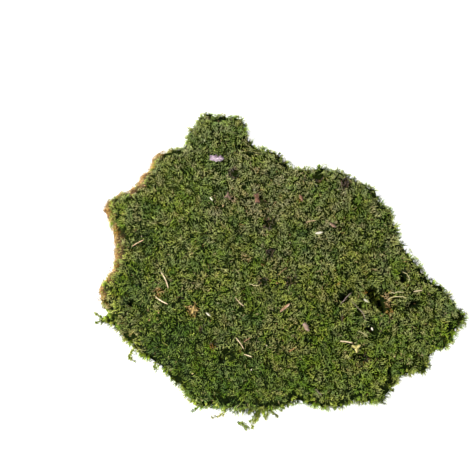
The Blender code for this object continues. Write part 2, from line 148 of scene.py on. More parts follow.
# What the photograph shows of the moss's patches: their middle and radius in its pixels, how much
# they differ in tone (towards green below 0, towards straw above) and how much in brightness, both
# in hundredths
PATCHES = [
    (172, 208, 20, 6, 28), (184, 240, 18, 4, 12), (214, 200, 12, 4, 15), (272, 238, 12, 4, 16),
    (146, 205, 12, -16, -26), (143, 240, 15, -20, -28), (136, 278, 13, -16, -22),
    (182, 352, 46, -18, -6), (240, 385, 40, -14, 2), (305, 378, 34, -10, 0), (255, 195, 46, 13, 0),
    (240, 152, 20, 12, 0), (375, 207, 12, 0, -16), (385, 246, 15, -4, -16), (400, 255, 8, 0, 20),
    (385, 325, 16, 0, 12), (450, 306, 9, 0, -20), (345, 182, 12, 20, -10), (282, 280, 32, 10, -2),
    (451, 333, 12, -12, 60), (395, 365, 28, -2, 8), (246, 347, 12, 10, -22), (412, 300, 22, 4, -10),
    (112, 289, 12, 0, 42), (112, 312, 12, 2, 36), (117, 211, 11, -2, 44), (121, 231, 7, -2, 42),
    (123, 252, 7, 0, 38), (125, 274, 7, 0, 38), (330, 330, 30, -8, 6), (350, 240, 34, 2, -8),
    (108, 303, 9, 18, 25), (126, 334, 9, 20, 25), (106, 316, 7, -6, 20), (143, 228, 14, 2, -14),
    (145, 262, 12, 2, -16), (360, 345, 14, 2, -14), (386, 240, 10, 4, -12), (348, 226, 12, 4, -10),
    (216, 316, 14, -6, -10), (436, 313, 9, 0, -18), (365, 262, 9, 12, -16), (275, 243, 14, 3, 10),
    (170, 188, 12, 0, 10), (254, 322, 14, 0, 8), (378, 288, 8, 0, 10), (300, 170, 24, 9, 0),
    (160, 345, 26, -7, 0), (225, 388, 22, -6, 0), (370, 392, 22, -9, 0), (455, 312, 9, -14, 0),
    (320, 305, 12, 4, -6), (207, 138, 12, -14, 0), (340, 292, 34, 9, -5), (340, 222, 34, 6, -6),
    (290, 205, 26, 5, 0),
]

# Dark hollows between the shoots, where the shoots are painted darker as painted shade: how much
# darker they are, and their middle and radius in pixels
HOLLOW_PAINTED_SHADE = 1.2
HOLLOWS = [
    (372, 293, 4), (375, 298, 4), (379, 303, 4), (382, 307, 3), (344, 298, 5),
    (350, 292, 4), (403, 276, 5), (413, 306, 4), (419, 303, 3), (408, 309, 3),
    (372, 330, 5), (381, 331, 3), (240, 308, 4), (246, 348, 4), (232, 357, 5),
    (226, 351, 4), (307, 340, 3), (358, 313, 3), (318, 176, 6), (266, 223, 2.5),
    (271, 251, 3), (264, 281, 3), (291, 280, 3), (294, 237, 3), (235, 172, 3),
    (244, 186, 3), (200, 330, 3), (180, 299, 3), (228, 262, 3),
]

# Tufts that are dead: middle and radius in pixels, and their tone
DEAD_TUFTS = [
    (193, 309, 6, 0.87), (159, 291, 5, 0.89), (386, 297, 5, 0.84), (387, 303, 5, 0.86),
    (388, 309, 5, 0.95), (368, 293, 3, 0.96), (248, 257, 3, 0.9), (242, 256, 4, 0.72),
    (270, 224, 6, 1), (271, 251, 5, 1), (264, 281, 5, 1), (290, 280, 5, 1),
    (234, 172, 5, 1), (200, 328, 4, 1), (180, 299, 4, 1), (213, 344, 4, 1),
    (318, 176, 6, 1), (346, 181, 5, 1), (342, 316, 3, 1), (366, 358, 4, 1),
    (301, 199, 3, 0.95), (233, 197, 4, 0.84), (128, 339, 3, 0.86), (104, 301, 3, 0.84),
]

# Loose shoots that hang out over the ground: the heights of root and tip in millimetres, and the
# line between them in pixels. Side shoots are this far apart on them, and this long
TENDRIL_STEP = 0.26 * MM
TENDRIL_LENGTH = (2 * MM, 4 * MM)
TENDRIL_LEAF = 1.2 * MM
TENDRILS = [
    (5, 1, (254, 403), (257, 411), (257, 418), (253, 423), (252, 428)),
    (5, 2, (250, 402), (251, 409), (249, 413)), (2.5, 1, (256, 413), (253, 419), (250, 421)),
    (0.8, 0.8, (236, 422), (241, 423), (244, 426), (249, 428)),
    (0.8, 0.8, (242, 423), (245, 425), (246, 429)), (5, 1.5, (260, 404), (263, 411), (265, 417)),
    (5, 1.5, (265, 405), (267, 412), (266, 419)), (5, 1.5, (269, 406), (273, 413), (277, 417)),
    (5, 1, (226, 404), (225, 410), (221, 415), (212, 417)),
    (5, 2, (222, 402), (218, 407), (211, 407)), (5, 2, (203, 401), (198, 407), (192, 411)),
    (6, 1, (143, 344), (135, 348), (130, 354), (130, 358), (136, 362)),
    (5, 2, (152, 350), (145, 357), (141, 354), (139, 350)),
    (5, 1, (157, 356), (155, 364), (156, 371)), (5, 2, (172, 366), (167, 370), (164, 371)),
    (5, 1.5, (112, 317), (103, 319), (96, 323)), (5, 1.5, (110, 322), (102, 318), (95, 313)),
    (5, 2, (425, 352), (427, 359), (430, 366)), (5, 2, (417, 358), (420, 366), (422, 373)),
    (5, 2, (412, 366), (414, 370), (413, 373)), (5, 2, (376, 396), (380, 400), (385, 404)),
    (5, 2, (457, 312), (461, 315), (465, 314)), (5, 2, (457, 319), (461, 322), (465, 324)),
    (5, 3, (389, 384), (391, 389), (393, 390)), (8, 3, (216, 395), (217, 401), (215, 405)),
    (8, 3, (223, 396), (225, 402), (226, 407)), (8, 3, (230, 397), (231, 403), (230, 409)),
    (8, 3, (237, 397), (238, 404), (240, 410)), (8, 3, (244, 398), (245, 405), (244, 411)),
    (8, 3, (248, 398), (250, 406), (253, 412)), (8, 2, (252, 398), (255, 407), (256, 416)),
    (8, 2, (257, 398), (259, 408), (258, 417)), (8, 1, (262, 399), (260, 409), (256, 421)),
    (8, 2, (266, 399), (265, 406), (262, 412)), (8, 3, (272, 398), (272, 405), (270, 410)),
    (8, 3, (279, 398), (280, 404), (283, 408)), (8, 3, (286, 397), (288, 402), (288, 406)),
]

# Tufts that stick out from the edge, each of a few stout shoots from one root inside it
TUFT_SPACING = 4.9 * MM
TUFT_SHOOTS = 6
TUFT_ROOT = 3.2 * MM
TUFT_OUT = (0.8 * MM, 5.4 * MM)
TUFT_TOP = 13 * MM
TUFT_LEAF = 1.15 * MM

# The CAD's thin droop under the hanging cluster: nothing else grows there, and the felt draws back
CLUSTER_PX = (256, 420)
CLUSTER_HEIGHT = 3 * MM
CLUSTER_RADIUS = 7.5 * MM
FELT_DRAWS_BACK = 13 * MM

# CAD rods have this many rings of points
RINGS = 7

# Small crumbs of bark, scales and leaves all over the moss
CRUMBS = 200
CRUMB_SPACING = 7 * MM
CRUMB_LENGTH = (0.7 * MM, 1.9 * MM)
CRUMB_HALF_HEIGHT = 0.15 * MM

# Crumbs that the photograph shows singly: their pixel, length in millimetres and tone
FLECKS = [
    (372, 329, 2.8, 1), (381, 331, 1.3, 0.8), (262, 265, 2.2, 0.4),
    (290, 235, 1.8, 0.4), (223, 206, 2.6, 0.75), (277, 283, 2.4, 0.55),
]

# Litter has sunk this far into the shoots
LITTER_SINK = 0.6 * MM

# Litter that has faded to this grey brown, and how far
FADED_COLOUR = (78, 66, 58)
FADED = {"bud_scale_round": 0.75, "bud_scale_upper_left": 0.35, "bud_scale_small": 0.35}

# Flakes are this thick, and their CAD plates that. Some are torn into lobes, which point this many
# degrees off the CAD node's length
FLAKE_THICKNESS = 0.25 * MM
PLATE_THICKNESS = 0.45 * MM
LOBES = {
    "bud_scale_yellow": (15, 140, 255),
    "bud_scale_orange": (25, 120, 200, 290),
    "bud_scale_upper": (15, -20, 160, 200),
    "bud_scale_upper_left": (10, 150, 260),
}

# Colours of the litter in sRGB: its stains, its plain middle and its bleached parts. The stain and
# bleached colours also paint one flank darker and the other lighter, painted shade and painted light
LITTER_COLOURS = {
    "needle_pale": ((81, 62, 44), (144, 128, 103), (172, 163, 142)),
    "needle_tan": ((68, 46, 31), (129, 104, 81), (151, 132, 109)),
    "needle_brown": ((38, 24, 16), (92, 66, 44), (126, 100, 74)),
    "needle_orange": ((52, 24, 8), (99, 55, 23), (121, 86, 48)),
    "scale_pink": ((46, 25, 14), (100, 72, 48), (156, 134, 112)),
    "scale_red": ((20, 10, 6), (60, 36, 20), (118, 92, 68)),
    "scale_yellow": ((64, 55, 22), (112, 104, 55), (132, 127, 86)),
    "scale_orange": ((48, 34, 12), (98, 80, 38), (134, 118, 72)),
    "petal_lilac": ((54, 42, 50), (98, 84, 92), (150, 138, 142)),
    "husk_white": ((76, 70, 52), (122, 118, 104), (158, 154, 146)),
    "twig_grey": ((42, 31, 28), (107, 92, 85), (155, 140, 132)),
    "stalk_straw": ((81, 72, 43), (146, 137, 100), (175, 167, 137)),
}


def unit(vectors):
    """Vectors scaled to length one."""
    return vectors / np.maximum(np.linalg.norm(vectors, axis=-1, keepdims=True), 1e-12)


def flat_length(vectors):
    """How long the vectors are, seen from above."""
    return np.linalg.norm(vectors[:, :2], axis=1)


def circle(count):
    """This many angles evenly around a circle."""
    return 2 * math.pi * np.arange(count) / count


def level(angles):
    """Level unit vectors at these angles."""
    return np.stack([np.cos(angles), np.sin(angles), np.zeros(len(angles))], axis=1)


def vary(amount, *shape):
    """Random numbers around 0, spread by this amount."""
    return rng.normal(size=shape) * amount


def ramp(value, low, high):
    """0 below low, 1 above high, and a smooth rise between."""
    t = np.clip((value - low) / (high - low), 0, 1)
    return t * t * (3 - 2 * t)


def field(points, name):
    """One of the fields at these points, between about -1 and 1."""
    width, seed = FIELDS[name]
    return np.array([noise.noise(Vector(p) / width + Vector((seed, 0, 0))) for p in points])


def sight(pixel):
    """The eye's place, and the way it looks through a pixel of the photograph."""
    back = np.array(VIEW_BACK)
    up = np.array([0, math.sin(VIEW_ELEVATION), math.cos(VIEW_ELEVATION)])
    half = SENSOR_MM / 2 / LENS_MM
    across = (pixel[0] - PHOTO_MIDDLE_PX) / PHOTO_MIDDLE_PX * half
    rise = (PHOTO_MIDDLE_PX - pixel[1]) / PHOTO_MIDDLE_PX * half
    return np.array(VIEW_AIM) + back * VIEW_DISTANCE, np.array([across, 0, 0]) + up * rise - back


def seen_at(pixel, height):
    """The point at this height that the view sees at this pixel."""
    eye, way = sight(pixel)
    return eye + way * (height - eye[2]) / way[2]


def welded(node):
    """A CAD node's points, with those at the same place joined, and its triangles."""
    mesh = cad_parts[node].data
    points = np.empty(len(mesh.vertices) * 3)
    mesh.vertices.foreach_get("co", points)
    mesh.calc_loop_triangles()
    triangles = np.empty(len(mesh.loop_triangles) * 3, int)
    mesh.loop_triangles.foreach_get("vertices", triangles)
    keys = np.round(points.reshape(-1, 3) * 1e6).astype(np.int64)
    _, first, same = np.unique(keys, axis=0, return_index=True, return_inverse=True)
    triangles = same.ravel()[triangles].reshape(-1, 3)
    a, b, c = triangles.T
    return points.reshape(-1, 3)[first], triangles[(a != b) & (b != c) & (c != a)]


def area_normals(corners):
    """Normals of triangles, twice as long as their areas."""
    return np.cross(corners[:, 1] - corners[:, 0], corners[:, 2] - corners[:, 0])


def point_normals(points, triangles):
    """Area-weighted unit normals at the points."""
    facing = area_normals(points[triangles])
    normals = np.zeros_like(points)
    for k in range(3):
        np.add.at(normals, triangles[:, k], facing)
    return unit(normals)


def smooth_line(points, count):
    """A smooth curve through the points, as this many places evenly spaced in their order."""
    points = np.asarray(points, float)
    ends = np.vstack([2 * points[0] - points[1], points, 2 * points[-1] - points[-2]])
    t = np.linspace(0, len(points) - 1 - 1e-9, count)
    first = t.astype(int)
    t = (t - first)[:, None]
    a, b, c, d = (ends[first + k] for k in range(4))
    return 0.5 * (2 * b + (c - a) * t + (2 * a - 5 * b + 4 * c - d) * t ** 2
                  + (3 * b - a - 3 * c + d) * t ** 3)


def fill(items, key, values, kind=np.float32):
    """Set this key of all the items from an array."""
    items.foreach_set(key, np.ascontiguousarray(values, kind).ravel())


class Batch:
    """Triangles of many small things, with numbers at their points, collected for one piece.

    Each thing has a square cell of the piece's texture, where u and v place its points."""

    def __init__(self):
        self.points = []
        self.triangles = []
        self.numbers = []
        self.count = 0
        self.cells = 0

    def add(self, points, triangles, numbers, cells=1):
        """One thing, or as many as this has cells."""
        numbers = dict(numbers)
        numbers["cell"] = numbers.get("cell", np.zeros(len(points), int)) + self.cells
        self.points.append(points)
        self.triangles.append(np.asarray(triangles) + self.count)
        self.numbers.append(numbers)
        self.count += len(points)
        self.cells += cells

    def piece(self, name, material, slot="moss_green", nodes=("moss_mat",), smooth=False):
        """One mesh object of all this that rides on the body and stands for the CAD nodes."""
        points = np.vstack(self.points)
        triangles = np.vstack(self.triangles)
        numbers = {key: np.concatenate([part[key] for part in self.numbers])
                   for key in self.numbers[0]}
        mesh = bpy.data.meshes.new(name)
        mesh.vertices.add(len(points))
        fill(mesh.vertices, "co", points)
        mesh.loops.add(triangles.size)
        fill(mesh.loops, "vertex_index", triangles, np.int32)
        mesh.polygons.add(len(triangles))
        fill(mesh.polygons, "loop_start", np.arange(0, triangles.size, 3), np.int32)
        mesh.update(calc_edges=True)
        if smooth:
            mesh.shade_smooth()
        else:
            mesh.shade_flat()
        side = math.ceil(math.sqrt(self.cells))
        cell = numbers.pop("cell")
        corner = np.stack([cell % side, cell // side], axis=1)
        inside = np.stack([numbers.pop("u"), numbers.pop("v")], axis=1) * 0.88 + 0.06
        layer = mesh.uv_layers.new(name="OFBake")
        fill(layer.data, "uv", ((corner + inside) / side)[triangles.ravel()])
        for key, values in numbers.items():
            fill(mesh.attributes.new(key, "FLOAT", "POINT").data, "value", values)
        mesh.materials.append(material)
        piece = add_object(name, mesh)
        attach(piece, "root")
        if nodes:
            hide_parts(*nodes)
        print("PIECE", name, self.cells, "things", len(triangles), "triangles")


def add_object(name, data):
    """A new object in the scene."""
    added = bpy.data.objects.new(name, data)
    bpy.context.scene.collection.objects.link(added)
    return added


def srgb(r, g, b):
    """A linear colour from sRGB bytes."""
    return tuple(((c / 255 + 0.055) / 1.055) ** 2.4 for c in (r, g, b)) + (1.0,)


class Nodes:
    """A new material with one Principled shader, and short ways to add nodes to it."""

    def __init__(self, name, roughness, specular):
        self.material = bpy.data.materials.new(name)
        self.material.use_nodes = True
        self.tree = self.material.node_tree
        self.shader = self.tree.nodes["Principled BSDF"]
        self.feed(self.shader, {"Roughness": roughness, "Specular IOR Level": specular})

    def feed(self, node, inputs):
        """Give the node's inputs their values, or the outputs of other nodes."""
        for key, value in inputs.items():
            if isinstance(value, bpy.types.NodeSocket):
                self.tree.links.new(value, node.inputs[key])
            else:
                node.inputs[key].default_value = value

    def add(self, kind, inputs, **settings):
        node = self.tree.nodes.new("ShaderNode" + kind)
        for key, value in settings.items():
            setattr(node, key, value)
        self.feed(node, inputs)
        return node

    def attribute(self, name):
        return self.add("Attribute", {}, attribute_name=name).outputs["Fac"]

    def noise(self, scale, detail, vector=None):
        if vector is None:
            vector = self.add("TexCoord", {}).outputs["Object"]
        inputs = {"Vector": vector, "Scale": scale, "Detail": detail}
        return self.add("TexNoise", inputs).outputs["Fac"]

    def fibres(self, along, around):
        """Streaks that run lengthwise over a lofted piece."""
        place = self.add("UVMap", {}, uv_map="OFBake").outputs["UV"]
        stretched = self.add("VectorMath", {0: place, 1: (along, around, 1)}, operation="MULTIPLY")
        return self.noise(1, 3, stretched.outputs["Vector"])

    def math(self, operation, first, second):
        return self.add("Math", {0: first, 1: second}, operation=operation).outputs[0]

    def colours(self, factor, stops):
        """Colours that change with the factor: each stop is its place and three sRGB bytes."""
        node = self.add("ValToRGB", {"Fac": factor})
        elements = node.color_ramp.elements
        while len(elements) < len(stops):
            elements.new(0.5)
        for element, (place, *colour) in zip(elements, stops):
            element.position = place
            element.color = srgb(*colour)
        return node.outputs["Color"]

    def mix(self, factor, first, second, blend="MIX"):
        inputs = {"Factor": factor, 6: first, 7: second}
        return self.add("Mix", inputs, data_type="RGBA", blend_type=blend).outputs[2]

    def span(self, value, low, high):
        """A value from 0 to 1 spread between two others."""
        inputs = {"Value": value, "To Min": low, "To Max": high}
        return self.add("MapRange", inputs).outputs["Result"]

    def darken(self, strength, colour, value, lowest):
        """The colour times one that runs from this lowest one to white with the value."""
        tint = self.mix(value, srgb(*lowest), srgb(255, 255, 255))
        return self.mix(strength, colour, tint, "MULTIPLY")

    def saturate(self, colour, amount):
        return self.add("HueSaturation", {"Saturation": amount, "Color": colour}).outputs["Color"]

    def finish(self, colour, roughness, height, strength, distance):
        """The material, with bumps of this height at most, in metres."""
        bump = self.add("Bump", {"Strength": strength, "Distance": distance, "Height": height})
        self.feed(self.shader, {"Base Color": colour, "Roughness": roughness,
                                "Normal": bump.outputs["Normal"]})
        return self.material


def moss_material():
    """Living and dying shoots: tone runs from deep green over lime, olive and straw to brown. Each
    shoot is darker at its foot, partly old leaves and partly painted shade deep in the moss, and
    paler at its leaf tips, partly new growth and partly painted sheen.
    """
    n = Nodes("moss_shoots", roughness=0.4, specular=0.1)
    tone = n.attribute("tone")
    along = n.attribute("along")
    # Dark colours at the shoot's foot: old leaves, and painted shade deep between the shoots
    old = n.colours(tone, [
        (0, 14, 30, 0), (0.5, 36, 42, 0), (0.72, 60, 50, 6), (0.86, 98, 76, 40), (1, 30, 18, 14)])
    body = n.colours(tone, [
        (0, 70, 108, 8), (0.22, 110, 142, 20), (0.4, 148, 164, 38), (0.55, 170, 170, 58),
        (0.7, 176, 162, 78), (0.84, 198, 166, 106), (0.93, 196, 136, 58), (1, 78, 60, 60)])
    # Pale colours at the leaf tips: new growth, and painted sheen
    tip = n.colours(tone, [
        (0, 148, 184, 84), (0.22, 196, 222, 112), (0.4, 236, 242, 146), (0.55, 250, 244, 176),
        (0.7, 236, 222, 172), (0.84, 244, 222, 184), (0.93, 230, 176, 96), (1, 124, 106, 108)])
    tip_paleness = n.math("MULTIPLY", n.span(n.attribute("leaf"), 0.25, 1.0), n.span(along, 0.35, 1.15))
    aged_with_painted_shade_and_sheen = n.mix(n.math("POWER", along, 1.8), old, n.mix(tip_paleness, body, tip))
    grain = n.noise(900, 2.0)
    # The shade value darkens whole shoots towards deep green: random brightness, with painted shade
    # in hollows and at clump rims and painted light on the steep edge and beside the torn side
    colour = n.darken(1.0, aged_with_painted_shade_and_sheen, n.attribute("shade"), (52, 62, 18))
    colour = n.darken(0.25, colour, grain, (90, 90, 90))
    colour = n.saturate(colour, n.span(n.attribute("dry"), 1.14, 0.8))
    return n.finish(colour, n.span(grain, 0.42, 0.62), grain, 0.25, 0.2 * MM)


def litter_material(slot):
    """Dry plant matter: lengthwise fibres, stains and bleached patches, rough where it is stained.
    One flank is painted lighter and the other darker, painted light and shade.
    """
    stain, plain, bleached = LITTER_COLOURS[slot]
    n = Nodes(slot + "_dry", roughness=0.6, specular=0.2)
    fibres = n.fibres(5.0, 34.0)
    spots = n.noise(430, 3.0)
    mixed = n.math("ADD", n.math("MULTIPLY", fibres, 0.5), n.math("MULTIPLY", spots, 0.5))
    # Painted light and shade: one flank leans towards the bleached colour, the other towards the
    # stain
    mixed = n.math("ADD", mixed, n.math("MULTIPLY", n.attribute("side"), -0.11))
    colour = n.colours(mixed, [(0.36, *stain), (0.46, *plain), (0.56, *plain), (0.66, *bleached)])
    tapered = n.math("ABSOLUTE", n.math("SUBTRACT", n.attribute("along"), 0.5), 0)
    browned = n.mix(n.span(n.math("MULTIPLY", tapered, 2.0), -0.5, 0.6), colour, srgb(*stain))
    faded = n.mix(n.attribute("faded"), browned, srgb(*FADED_COLOUR))
    return n.finish(faded, n.span(spots, 0.75, 0.45), fibres, 0.35, 0.25 * MM)


def crumb_material():
    """Crumbs of litter: tone runs from dark bark over tan to nearly white."""
    n = Nodes("crumbs", roughness=0.7, specular=0.1)
    grain = n.noise(1200, 2.0)
    colour = n.colours(n.attribute("tone"), [
        (0, 34, 20, 14), (0.35, 74, 44, 28), (0.6, 112, 84, 52), (0.85, 140, 122, 92),
        (1, 172, 166, 150)])
    colour = n.darken(0.6, colour, grain, (110, 110, 110))
    return n.finish(colour, n.span(grain, 0.6, 0.85), grain, 0.4, 0.2 * MM)


def felt_material():
    """The dark bed under the shoots: old brown stems with earth between them. Where the shoots cover
    it, it is near black and deep green, painted shade deep between the shoots; where it lies bare, on
    the torn side and at the cut underside, it is brown.
    """
    n = Nodes("moss_felt", roughness=0.9, specular=0.0)
    fine = n.noise(420, 5.0)
    broad = n.noise(60, 3.0)
    mixed = n.math("ADD", n.math("MULTIPLY", fine, 0.65), n.math("MULTIPLY", broad, 0.35))
    # Painted shade: the felt under the shoots is near black and deep green
    colour = n.colours(mixed, [
        (0.3, 2, 5, 0), (0.45, 5, 10, 0), (0.55, 11, 17, 0), (0.68, 28, 26, 6), (0.8, 14, 22, 0)])
    bare = n.colours(mixed, [
        (0.35, 24, 16, 10), (0.45, 58, 42, 28), (0.55, 88, 66, 48), (0.66, 116, 94, 74)])
    colour = n.mix(n.attribute("bare"), colour, bare)
    return n.finish(colour, n.span(fine, 0.75, 0.95), fine, 0.8, 1.2 * MM)


class Sheet:
    """The CAD sheet's surface, and what can be asked of it."""

    def __init__(self):
        self.points, self.triangles = welded("moss_mat")
        self.normals = point_normals(self.points, self.triangles)
        self.tree = BVHTree.FromPolygons([Vector(p) for p in self.points], self.triangles.tolist())

    def seen(self, pixel):
        """The place on the sheet that the view sees at this pixel."""
        eye, way = sight(pixel)
        hit = self.tree.ray_cast(Vector(eye), Vector(way))[0]
        return np.array(hit) if hit else seen_at(pixel, 5 * MM)

    def pixels_off(self, pixel, places):
        """How far the places are from the pixel's place on the sheet, in pixels."""
        return flat_length(places - self.seen(pixel)) / METRES_PER_PX

    def scatter(self, spacing, usable):
        """Places about this far apart where usable(facing, middle) says so, and the normals there."""
        corners = self.points[self.triangles]
        facing = area_normals(corners)
        area = np.linalg.norm(facing, axis=1) / 2
        area = area * usable(facing / (2 * area[:, None]), corners.mean(axis=1))
        count = int(9 * area.sum() / spacing ** 2)
        chosen = rng.choice(len(area), count, p=area / area.sum())
        u, v = rng.random((2, count))
        over = u + v > 1
        u[over], v[over] = 1 - u[over], 1 - v[over]
        weights = np.stack([1 - u - v, u, v], axis=1)[:, :, None]
        places = (corners[chosen] * weights).sum(axis=1)
        normals = unit((self.normals[self.triangles[chosen]] * weights).sum(axis=1))
        cells = {}
        kept = []
        for i, place in enumerate(places):
            x, y, z = (place // spacing).astype(int)
            near = [j for dx in (-1, 0, 1) for dy in (-1, 0, 1) for dz in (-1, 0, 1)
                    for j in cells.get((x + dx, y + dy, z + dz), ())]
            if near and (np.square(places[near] - place).sum(axis=1) < spacing ** 2).any():
                continue
            cells.setdefault((x, y, z), []).append(i)
            kept.append(i)
        return places[kept], normals[kept]


def torn(points, normals):
    """How much of the torn side's bare wall is here, from 0 to 1."""
    facing = unit(normals * [1, 1, 0]) @ [math.cos(TORN_FACING), math.sin(TORN_FACING), 0]
    side = ramp(facing, 0.5, 0.7) * ramp(flat_length(normals), 0.3, 0.5)
    side *= ramp(-points[:, 0], -TORN_ENDS_AT_X - 10 * MM, -TORN_ENDS_AT_X + 10 * MM)
    side *= ramp(points[:, 1], TORN_ENDS_AT_Y - 2 * MM, TORN_ENDS_AT_Y + 4 * MM)
    return side * (1 - ramp(points[:, 2], TORN_TOP - 2 * MM, TORN_TOP + 1 * MM))


def leafy_shoots(roots, heading, bend, length, looks, leaf_length=LEAF_LENGTH, leaf_step=LEAF_STEP,
                 sides=3):
    """Points, triangles, numbers and count of curved shoots, each a thin stem with spiralling leaves.

    A shoot starts out along its heading and turns towards its bend. A leaf is a folded kite:
    where it joins the stem, its two edges and its tip. The lowest part of the stem is bare.
    A stem with two sides is a ribbon."""
    count = len(roots)
    heading = unit(heading)
    spin = rng.random(count) * 2 * math.pi
    side_hint = unit(rng.normal(size=(count, 3)))

    def on_stem(shoot, t):
        """Place and three axes on the stem at the share t of its length."""
        t = t[:, None]
        along = unit(heading[shoot] + t * bend[shoot])
        place = roots[shoot] + (t * heading[shoot] + 0.5 * t ** 2 * bend[shoot]) * length[shoot, None]
        first = unit(np.cross(along, side_hint[shoot]))
        return place, along, first, np.cross(along, first)

    leaves = np.maximum((length / leaf_step).astype(int), 6)
    shoot = np.repeat(np.arange(count), leaves)
    index = np.arange(len(shoot)) - np.repeat(np.cumsum(leaves) - leaves, leaves)
    t = BARE_STEM + (1 - BARE_STEM) * ((index + 0.6) / leaves[shoot]) ** 0.9
    place, along, first, second = on_stem(shoot, t)
    turn = spin[shoot] + index * GOLDEN_ANGLE + vary(0.25, len(shoot))
    out = first * np.cos(turn)[:, None] + second * np.sin(turn)[:, None]
    foot_angle, tip_angle = LEAF_ANGLES
    spread = foot_angle - (foot_angle - tip_angle) * t ** 1.6 + vary(8, len(shoot))
    spread = np.radians(spread)
    leaf_way = along * np.cos(spread)[:, None] + out * np.sin(spread)[:, None]
    side = unit(np.cross(leaf_way, out))
    back = np.cross(side, leaf_way)
    back *= np.sign((back * out).sum(axis=1))[:, None]
    size = leaf_length * (0.7 + 0.5 * np.sin(math.pi * np.clip(t, 0, 1) ** 0.8)) * (1 - 0.3 * t ** 3)
    size = (size * rng.uniform(0.8, 1.15, len(shoot)))[:, None]
    curl = rng.uniform(-0.22, 0.22, len(shoot))[:, None]
    base = place + out * STEM_RADIUS * 0.6
    middle = base + leaf_way * size * 0.4 - back * size * 0.12
    half = side * size * LEAF_WIDTH / 2
    end = base + leaf_way * size + back * size * 0.14 + side * size * curl
    leaf_points = np.stack([base, middle + half, middle - half, end], axis=1)
    corner = np.arange(len(shoot))[:, None, None] * 4
    leaf_triangles = corner + np.array([[0, 1, 3], [0, 3, 2]])
    sideways = 0.5 / leaves[shoot][:, None] * np.array([[0, -1, 1, 0]])

    rings = np.array([0.0, 0.5, 1.0])
    stem_shoot = np.repeat(np.arange(count), len(rings))
    stem_t = np.tile(rings, count)
    place, _, first, second = on_stem(stem_shoot, stem_t)
    around = circle(sides)[:, None]
    radius = STEM_RADIUS * (1 - 0.7 * stem_t)[:, None, None]
    stem_points = place[:, None] + radius * (first[:, None] * np.cos(around)
                                             + second[:, None] * np.sin(around))
    faces = []
    for ring in range(len(rings) - 1):
        for k in range(sides if sides > 2 else 1):
            a, b = ring * sides + k, ring * sides + (k + 1) % sides
            faces += [[a, b, b + sides], [a, b + sides, a + sides]]
    if sides > 2:
        last = (len(rings) - 1) * sides
        faces += [[0, 2, 1], [last, last + 1, last + 2]]
    stem_triangles = np.array(faces)[None] + (np.arange(count) * len(rings) * sides)[:, None, None]

    points = np.vstack([leaf_points.reshape(-1, 3), stem_points.reshape(-1, 3)])
    points[:, 2] = np.maximum(points[:, 2], LOWEST)
    leaf_count = 4 * len(shoot)
    triangles = np.vstack([leaf_triangles.reshape(-1, 3), stem_triangles.reshape(-1, 3) + leaf_count])
    owner = np.concatenate([np.repeat(shoot, 4), np.repeat(stem_shoot, sides)])
    leaf_share = np.tile([0.0, 0.45, 0.45, 1.0], len(shoot))
    stem_along = np.repeat(stem_t, sides)
    numbers = {
        "cell": owner,
        "along": np.concatenate([np.repeat(t, 4), stem_along]),
        "leaf": np.concatenate([leaf_share, np.full(len(stem_along), 0.1)]),
        "u": np.clip(np.concatenate([(t[:, None] + sideways).ravel(), stem_along]), 0, 1),
        "v": np.concatenate([leaf_share, np.tile(0.05 * np.arange(sides), len(stem_t))]),
    }
    for key, values in looks.items():
        numbers[key] = values[owner]
    flicker = np.repeat(vary(LEAF_FLICKER, len(shoot)), 4)
    numbers["shade"][:leaf_count] = np.clip(numbers["shade"][:leaf_count] + flicker, 0, 1)
    return points, triangles, numbers, count


def moss_piece(name, material, *shoots, **stem):
    """One piece of leafy shoots, which stands for part of the CAD sheet."""
    batch = Batch()
    batch.add(*leafy_shoots(*shoots, **stem))
    batch.piece(name, material)


def loft(rows):
    """Points, triangles and numbers of a closed form through these loops of points."""
    count, around, _ = rows.shape
    rows = np.concatenate([rows, rows[:, :1]], axis=1)
    points = np.vstack([rows.reshape(-1, 3), rows[0, :-1].mean(axis=0), rows[-1, :-1].mean(axis=0)])
    wide = around + 1
    row, column = np.meshgrid(np.arange(count - 1), np.arange(around), indexing="ij")
    a = (row * wide + column).ravel()
    sides = np.vstack([np.stack([a, a + 1, a + wide + 1], axis=1),
                       np.stack([a, a + wide + 1, a + wide], axis=1)])
    k = np.arange(around)
    first, last = count * wide, count * wide + 1
    end = (count - 1) * wide
    caps = np.vstack([np.stack([k * 0 + first, k + 1, k], axis=1),
                      np.stack([k * 0 + last, end + k, end + k + 1], axis=1)])
    u = np.append(np.repeat(np.linspace(0, 1, count), wide), [0, 1])
    v = np.append(np.tile(np.linspace(0, 1, wide), count), [0.5, 0.5])
    # side runs from 1 on one flank to -1 on the other; the litter's finish uses it for painted light
    # and shade
    numbers = {"u": u, "v": v, "along": u, "side": np.cos(2 * math.pi * v)}
    return points, np.vstack([sides, caps]), numbers


def lengthwise(node):
    """A CAD node's points, their middle, and its own axes from its longest to its shortest."""
    points, _ = welded(node)
    middle = (points.min(axis=0) + points.max(axis=0)) / 2
    _, _, axes = np.linalg.svd(points - points.mean(axis=0), full_matrices=False)
    if axes[2, 2] < 0:
        axes[2] *= -1
    axes[1] = np.cross(axes[2], axes[0])
    return points, middle, axes


def rod_line(node, count):
    """A CAD rod's middle line as this many points, their shares of its length, and its radii."""
    points, middle, axes = lengthwise(node)
    order = np.argsort((points - middle) @ axes[0])
    rings = [points[part] for part in np.array_split(order, RINGS)]
    line = np.array([ring.mean(axis=0) for ring in rings])
    radii = np.array([np.linalg.norm(ring - ring.mean(axis=0), axis=1).mean() for ring in rings])
    return smooth_line(line, count), np.linspace(0, 1, count)[:, None], radii


